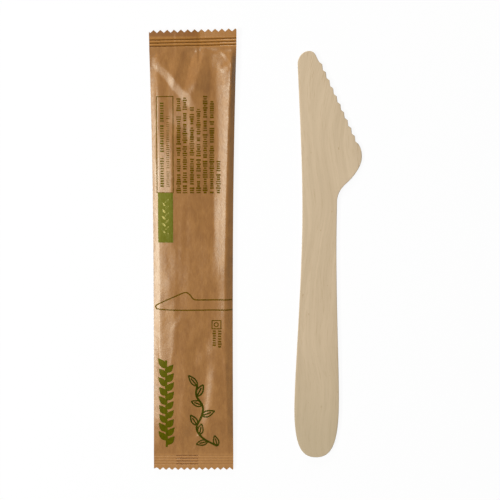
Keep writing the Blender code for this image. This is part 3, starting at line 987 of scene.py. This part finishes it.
def print_sachet(paper, inks):
    """Every printed piece, laid on the paper by the one tree."""
    brown, green, olive, dark, deep, pale = inks
    lay = functools.partial(printed, print_tree(), paper)
    lay("print_note_frame", brown, strokes=box_sides(*NOTE_FRAME, NOTE_LINE))
    lay(
        "print_note_heading",
        dark,
        lines=[upright(*NOTE_HEADING)],
        mark=[block(1.55, 0.52)],
        spacing=0.98,
        widths=(0.8, 1.0),
        lengths=(0.7, 1.3),
        kept=0.88,
    )
    lay(
        "print_note_subheading",
        brown,
        lines=[upright(*NOTE_SUBHEADING)],
        mark=[block(1.4, 0.26)],
        spacing=0.8,
        widths=(0.7, 1.0),
        lengths=(0.6, 1.3),
        kept=0.86,
        seed=1,
    )
    left, right, low, high = GREEN_FIELD
    field = ribbon(upright((left + right) / 2, low, high), right - left, FIELD_CELLS)
    lay("print_green_field", green, strokes=[field])
    lay(
        "print_small_text",
        brown,
        lines=[upright(u, TEXT_FOOT, top) for u, top in TEXT_COLUMNS],
        mark=[block(1.45, 0.60)],
        spacing=0.86,
        widths=(0.7, 1.35),
        lengths=(0.7, 1.25),
        kept=0.88,
        seed=2,
    )
    drawing = ribbon(rounded(KNIFE_DRAWING, 2), DRAWING_LINE, step=DRAWING_CELL)
    lay("print_knife_drawing", brown, strokes=[drawing])
    turns = np.linspace(0.0, RING_TURN, RING_POINTS)
    ring = np.stack([RING[0] + RING[2] * np.cos(turns), RING[1] + RING[2] * np.sin(turns)], axis=-1)
    lay(
        "print_small_marks",
        brown,
        lines=[upright(*row) for row in SMALL_ROWS],
        mark=[block(1.45, 0.62)],
        strokes=box_sides(*SQUARE, SQUARE_LINE) + [ribbon(ring, RING_LINE)],
        spacing=0.95,
        widths=(0.8, 1.0),
        lengths=(0.8, 1.2),
        seed=3,
    )
    lay(
        "print_leaf_garland",
        olive,
        lines=[upright(*GARLAND_LEAVES)],
        mark=[leaf(5.0, 2.6)],
        strokes=[ribbon(upright(*GARLAND_STEM), 0.9, 2)],
        spacing=1.9,
        turn=40.0,
        widths=(0.95, 1.1),
        lengths=(0.9, 1.05),
    )
    lay(
        "print_leaf_sprig",
        deep,
        lines=[rounded(SPRIG_STEM)],
        mark=open_leaf(5.4, 2.5, 0.6),
        strokes=[ribbon(rounded(SPRIG_STEM), 0.85)],
        spacing=4.2,
        turn=48.0,
        widths=(0.85, 1.1),
        lengths=(0.8, 1.1),
        seed=4,
    )
    lay(
        "print_field_leaves",
        pale,
        lines=[upright(*FIELD_LEAVES)],
        mark=[leaf(2.0, 0.85)],
        spacing=1.25,
        turn=42.0,
    )


# Materials

GROOVE_SHADE_REACH = 0.26  # in ribs, to each side of a groove
TOP_FOLD = 1.4 * MM  # where the top seal's two halves meet
FOLD_BLUR = 0.0006
SEAL_BLUR = 0.0004
HANDLE_SHADE = (-0.035, -0.075)  # along the knife, from none to full

# Inks: name, colour where thin, colour where full
INKS = (
    ("olive_brown_ink", "6a4e06", "503a00"),
    ("leaf_green_ink", "6a6c2a", "5c5e16"),
    ("olive_green_ink", "545200", "444400"),
    ("dark_olive_ink", "605404", "4c4200"),
    ("deep_green_ink", "3a3c02", "2c2e00"),
    ("pale_knockout_ink", "c9bd72", "bbae5e"),
)


def empty_material(name):
    material = bpy.data.materials.new(name)
    material.use_nodes = True
    material.node_tree.nodes.clear()
    return material, material.node_tree


def noises(tree, place, roughness, rows):
    """Noise patterns by name, each with its waves to a metre along X, Y and Z, and its detail."""
    found = {}
    for name, scale, detail in rows:
        stretched = add(tree, "ShaderNodeMapping", {"Vector": place, "Scale": scale})
        grain = {"Vector": stretched, "Scale": 1.0, "Detail": detail, "Roughness": roughness}
        found[name] = add(tree, "ShaderNodeTexNoise", grain)
    return found


def toned(ramp, first, second, reach=(0.34, 0.66)):
    """The ramp node, set to run from a first to a second colour as its value crosses a reach."""
    for stop, place, code in zip(ramp.color_ramp.elements, reach, (first, second)):
        stop.position = place
        stop.color = linear(code)
    return ramp


def stained(tree, colour, share, most, code):
    """A colour taken part of the way to another one."""
    part = add(tree, "ShaderNodeMath", {0: share, 1: most}, operation="MULTIPLY")
    return add(tree, "ShaderNodeMix", {"Factor": part, "A": colour, "B": linear(code)}, data_type="RGBA")


def stained_past(tree, colour, value, reach, most, code):
    """A colour stained more and more as a value crosses its reach."""
    share = add(tree, "ShaderNodeMapRange", {"Value": value, "From Min": reach[0], "From Max": reach[1]})
    return stained(tree, colour, share, most, code)


def surface(material, tree, inputs):
    """Ends a material in one shader."""
    shader = add(tree, "ShaderNodeBsdfPrincipled", inputs)
    add(tree, "ShaderNodeOutputMaterial", {"Surface": shader})
    return material


def painted_groove_shade(tree, place, end, count):
    """Painted shade: 1 in the bottoms of the ribs' grooves at one end of the sachet, 0 elsewhere."""
    slope = TOP_CUT_RISE / SACHET_TOP_WIDTH if end > 0 else 0.0
    start = end * SEAL_INNER
    middle = SACHET_SHIFT[0] + SACHET_LEAN * start
    level = start + SACHET_SHIFT[1] - slope * middle
    height = add(tree, "ShaderNodeVectorMath", {0: place, 1: (-slope, 1.0, 0.0)}, operation="DOT_PRODUCT")
    ribs = {"Value": height, "From Min": level, "From Max": level + end * count * RIB_PITCH}
    run = add(tree, "ShaderNodeMapRange", ribs)
    shade_ramp = toned(add(tree, "ShaderNodeValToRGB", {"Fac": run}), "000000", "000000", (0.0, 1.0))
    for rib in range(count):
        for reach, shade in ((-GROOVE_SHADE_REACH, "000000"), (0.0, "ffffff"), (GROOVE_SHADE_REACH, "000000")):
            shade_ramp.color_ramp.elements.new((rib + 0.5 + reach) / count).color = linear(shade)
    return shade_ramp


def sealed(tree, place, colour):
    """The paper's colour with painted sheen on the seals and painted shade in their grooves and past the top
    ribs.
    """
    where = add(tree, "ShaderNodeSeparateXYZ", {"Vector": place}).outputs
    top = (SEAL_INNER - SEAL_BLUR, SEAL_INNER + SEAL_BLUR)
    foot = (SEAL_BLUR - SEAL_INNER, -SEAL_BLUR - SEAL_INNER)
    # Painted sheen: both seals are lightened, standing in for the shine of their pressed lands.
    colour = stained_past(tree, colour, where["Y"], top, 0.55, "b07628")
    colour = stained_past(tree, colour, where["Y"], foot, 0.50, "ad7a42")
    # Painted shade: the top seal past its ribs is darkened, most of all left of its fold.
    fold = on_table(TOP_FOLD, SEAL_INNER)[0]
    sides = {"From Min": fold - FOLD_BLUR, "From Max": fold + FOLD_BLUR, "To Min": 0.72, "To Max": 0.34}
    fold_side_shade = add(tree, "ShaderNodeMapRange", {"Value": where["X"], **sides})
    ribs_end = SEAL_INNER + TOP_RIB_COUNT * RIB_PITCH
    beyond = {"From Min": ribs_end - SEAL_BLUR, "From Max": ribs_end + FOLD_BLUR}
    pressed = add(tree, "ShaderNodeMapRange", {"Value": where["Y"], **beyond})
    hot = add(tree, "ShaderNodeMath", {0: fold_side_shade, 1: pressed}, operation="MULTIPLY")
    colour = stained(tree, colour, hot, 1.0, "703e04")
    # Painted shade in the bottoms of the top ribs' grooves.
    colour = stained(tree, colour, painted_groove_shade(tree, place, 1, TOP_RIB_COUNT), 0.74, "4a2804")
    left, right = on_table(np.array([-FIN_LEFT, FIN_RIGHT]), -SEAL_INNER)[0]
    fin = {0: where["X"], 1: (left + right) / 2, 2: (right - left) / 2}
    over_fin = add(tree, "ShaderNodeMath", fin, operation="COMPARE")
    grooves = painted_groove_shade(tree, place, -1, FOOT_RIB_COUNT)
    fin_grooves = add(tree, "ShaderNodeMath", {0: over_fin, 1: grooves}, operation="MULTIPLY")
    # Painted shade in the foot ribs' grooves, darker still over the fin.
    colour = stained(tree, colour, grooves, 0.28, "5a3408")
    return stained(tree, colour, fin_grooves, 0.52, "5a2a00")


def kraft_paper():
    """Machine-glazed kraft: unbleached pulp, dried on a hot polished roll that leaves the outer side shiny.

    The sheet's formation shows as clouds of 2 to 5 mm, and it cockles in waves of 2 to 3 mm.
    Its fibres are 0.03 mm wide and 3 mm long: they are drawn 0.4 mm wide so that they show.
    Bark specks are 0.3 mm. Both seals are painted lighter, a painted sheen where their pressed lands would
    shine.
    The grooves of their ribs get painted shade, darkest at the foot over the fin. Beyond its ribs
    the top seal gets painted shade, most of all left of its fold.
    """
    material, tree = empty_material("machine_glazed_kraft_paper")
    place = add(tree, "ShaderNodeTexCoord").outputs["Object"]
    rows = (
        ("clouds", (420, 190, 420), 4.0),
        ("cockle", (520, 330, 520), 2.0),
        ("fibres", (2400, 420, 900), 3.0),
        ("specks", (3100, 1900, 3100), 1.0),
    )
    pattern = noises(tree, place, 0.62, rows)
    mixing = {"Factor": 0.38, "A": pattern["clouds"], "B": pattern["fibres"]}
    pulp = add(tree, "ShaderNodeMix", mixing, data_type="FLOAT")
    colour = toned(add(tree, "ShaderNodeValToRGB", {"Fac": pulp}), "845522", "9b6b35")
    colour = stained_past(tree, colour, pattern["specks"], (0.70, 0.78), 0.35, "5e3a10")
    glazing = {"From Min": 0.3, "From Max": 0.7, "To Min": 0.32, "To Max": 0.37}
    cockled = {"Height": pattern["cockle"], "Strength": 0.7, "Distance": 0.00012}
    fibrous = {"Height": pattern["fibres"], "Strength": 0.35, "Distance": 0.00003}
    fibrous["Normal"] = add(tree, "ShaderNodeBump", cockled)
    finish = {
        "Base Color": sealed(tree, place, colour),
        "Roughness": add(tree, "ShaderNodeMapRange", {"Value": pattern["clouds"], **glazing}),
        "IOR": 1.54,
        "Specular Tint": linear("fffbe6"),
        "Normal": add(tree, "ShaderNodeBump", fibrous),
    }
    return surface(material, tree, finish)


def printing_ink(name, thin, full):
    """Water-based flexographic ink on kraft: thin, so the fibres under it break its colour up.

    The gaps that the fibres leave are 0.7 by 1.7 mm. It dulls the paper's shine, and yellows what it keeps.
    """
    material, tree = empty_material(name)
    place = add(tree, "ShaderNodeTexCoord").outputs["Object"]
    cover = noises(tree, place, 0.6, (("cover", (1500, 600, 900), 3.0),))["cover"]
    dulling = {"From Min": 0.3, "From Max": 0.7, "To Min": 0.36, "To Max": 0.46}
    finish = {
        "Base Color": toned(add(tree, "ShaderNodeValToRGB", {"Fac": cover}), full, thin, (0.36, 0.68)),
        "Roughness": add(tree, "ShaderNodeMapRange", {"Value": cover, **dulling}),
        "IOR": 1.5,
        "Specular IOR Level": 0.14,
        "Specular Tint": linear("f0d878"),
    }
    return surface(material, tree, finish)


def birch_veneer():
    """Rotary-cut birch veneer, die-cut and tumbled smooth: pale and matt, with quiet grain along the knife.

    Growth bands are about 6 mm wide and grain lines 1.6 mm. Pores are 0.1 mm wide and drawn 0.25 mm so that
    they show. Pith flecks, small brown dashes, are 1 to 2 mm long. The grain wanders about 3 mm sideways.
    Painted shade darkens the blank a little towards the end of its handle.
    """
    material, tree = empty_material("sanded_birch_veneer")
    place = add(tree, "ShaderNodeTexCoord").outputs["Object"]
    drift = noises(tree, place, 0.5, (("drift", (30, 16, 30), 1.0),))["drift"]
    sideways = {0: drift, 1: (0.022, 0.0, 0.0), 2: place}
    leaning = add(tree, "ShaderNodeVectorMath", sideways, operation="MULTIPLY_ADD")
    rows = (
        ("bands", (170, 12, 100), 2.0),
        ("grain", (620, 14, 300), 4.0),
        ("pores", (4000, 150, 1000), 2.0),
        ("flecks", (1150, 420, 400), 1.0),
    )
    pattern = noises(tree, leaning, 0.58, rows)
    mixing = {"Factor": 0.45, "A": pattern["bands"], "B": pattern["grain"]}
    wood = add(tree, "ShaderNodeMix", mixing, data_type="FLOAT")
    colour = toned(add(tree, "ShaderNodeValToRGB", {"Fac": wood}), "bda787", "d0ba9a")
    colour = stained_past(tree, colour, pattern["pores"], (0.56, 0.70), 0.34, "a58a62")
    colour = stained_past(tree, colour, pattern["flecks"], (0.75, 0.81), 0.60, "96703c")
    along = add(tree, "ShaderNodeSeparateXYZ", {"Vector": place}).outputs["Y"]
    sanding = {"From Min": 0.3, "From Max": 0.7, "To Min": 0.60, "To Max": 0.70}
    open_pores = {"Height": pattern["pores"], "Strength": 0.3, "Distance": 0.00003}
    # Painted shade: the base colour darkens towards the end of the handle.
    finish = {
        "Base Color": stained_past(tree, colour, along, HANDLE_SHADE, 0.45, "ab9c7c"),
        "Roughness": add(tree, "ShaderNodeMapRange", {"Value": pattern["grain"], **sanding}),
        "IOR": 1.5,
        "Normal": add(tree, "ShaderNodeBump", open_pores),
    }
    return surface(material, tree, finish)


# Stage

FLOOR_REACH = 3.0
FLOOR_GLOW = 0.93
AMBIENT = 0.10

# Softboxes: name, place, width and height, and watts
LAMPS = (
    ("left_softbox", (-0.66, -0.12, 0.66), (0.30, 0.15), 6.5),
    ("high_softbox", (-0.37, -0.03, 0.82), (0.22, 0.20), 1.9),
    ("rear_softbox", (-0.15, 0.83, 0.34), (0.40, 0.16), 4.2),
)


def seen(tree):
    """1 for what the camera sees straight, mirrored or through something clear, and 0 for lighting."""
    rays = add(tree, "ShaderNodeLightPath").outputs
    straight = {0: rays["Is Camera Ray"], 1: rays["Is Glossy Ray"]}
    mirrored = add(tree, "ShaderNodeMath", straight, operation="MAXIMUM")
    return add(tree, "ShaderNodeMath", {0: mirrored, 1: rays["Is Transmission Ray"]}, operation="MAXIMUM")


def white_floor():
    """Matt white card that the camera sees as pure white, with a trace of the object's shadow left on it."""
    material, tree = empty_material("white_card")
    share = add(tree, "ShaderNodeMath", {0: seen(tree), 1: FLOOR_GLOW}, operation="MULTIPLY")
    card = add(tree, "ShaderNodeBsdfDiffuse", {"Color": linear("f4f4f4")})
    glow = add(tree, "ShaderNodeEmission", {"Color": (1, 1, 1, 1), "Strength": 1.0})
    mixed = add(tree, "ShaderNodeMixShader", {0: share, 1: card, 2: glow})
    add(tree, "ShaderNodeOutputMaterial", {"Surface": mixed})
    return material


def make_floor():
    corners = [(x * FLOOR_REACH, y * FLOOR_REACH, 0.0) for x, y in ((-1, -1), (1, -1), (1, 1), (-1, 1))]
    floor = mesh_object("floor", corners, [(0, 1, 2, 3)])
    floor.data.materials.append(white_floor())


def light_world():
    world = bpy.data.worlds.new("studio")
    world.use_nodes = True
    tree = world.node_tree
    tree.nodes.clear()
    strength = add(tree, "ShaderNodeMapRange", {"Value": seen(tree), "To Min": AMBIENT, "To Max": 1.0})
    sky = add(tree, "ShaderNodeBackground", {"Color": (1, 1, 1, 1), "Strength": strength})
    add(tree, "ShaderNodeOutputWorld", {"Surface": sky})
    bpy.context.scene.world = world


def add_lamp(name, place, size, power):
    """A softbox at a place, turned to the middle of the table."""
    data = bpy.data.lights.new(name, "AREA")
    data.shape = "RECTANGLE"
    data.size, data.size_y = size
    data.energy = power
    lamp = bpy.data.objects.new(name, data)
    lamp.location = place
    lamp.rotation_euler = (-Vector(place)).to_track_quat("-Z", "Y").to_euler()
    bpy.context.scene.collection.objects.link(lamp)


def add_camera():
    away = Vector((0.0, math.sin(CAMERA_TILT), math.cos(CAMERA_TILT)))
    up = Vector((0.0, math.cos(CAMERA_TILT), -math.sin(CAMERA_TILT)))
    right = up.cross(away)
    data = bpy.data.cameras.new("camera")
    data.lens = CAMERA_LENS
    data.sensor_width = CAMERA_SENSOR
    camera = bpy.data.objects.new("camera", data)
    turn = Matrix((right, up, away)).transposed()
    camera.matrix_world = Matrix.Translation(LOOK_AT + away * CAMERA_DISTANCE) @ turn.to_4x4()
    bpy.context.scene.collection.objects.link(camera)
    bpy.context.scene.camera = camera


def main():
    paper = kraft_paper()
    birch = birch_veneer()
    sachet = finished(make_sachet(), paper, "paper_sachet")
    finished(make_fin(), paper)
    finished(make_knife(), birch, "wooden_knife")
    print_sachet(sachet, [printing_ink(*ink) for ink in INKS])
    make_floor()
    light_world()
    for lamp in LAMPS:
        add_lamp(*lamp)
    add_camera()
    bpy.context.scene.view_settings.view_transform = "Standard"


main()
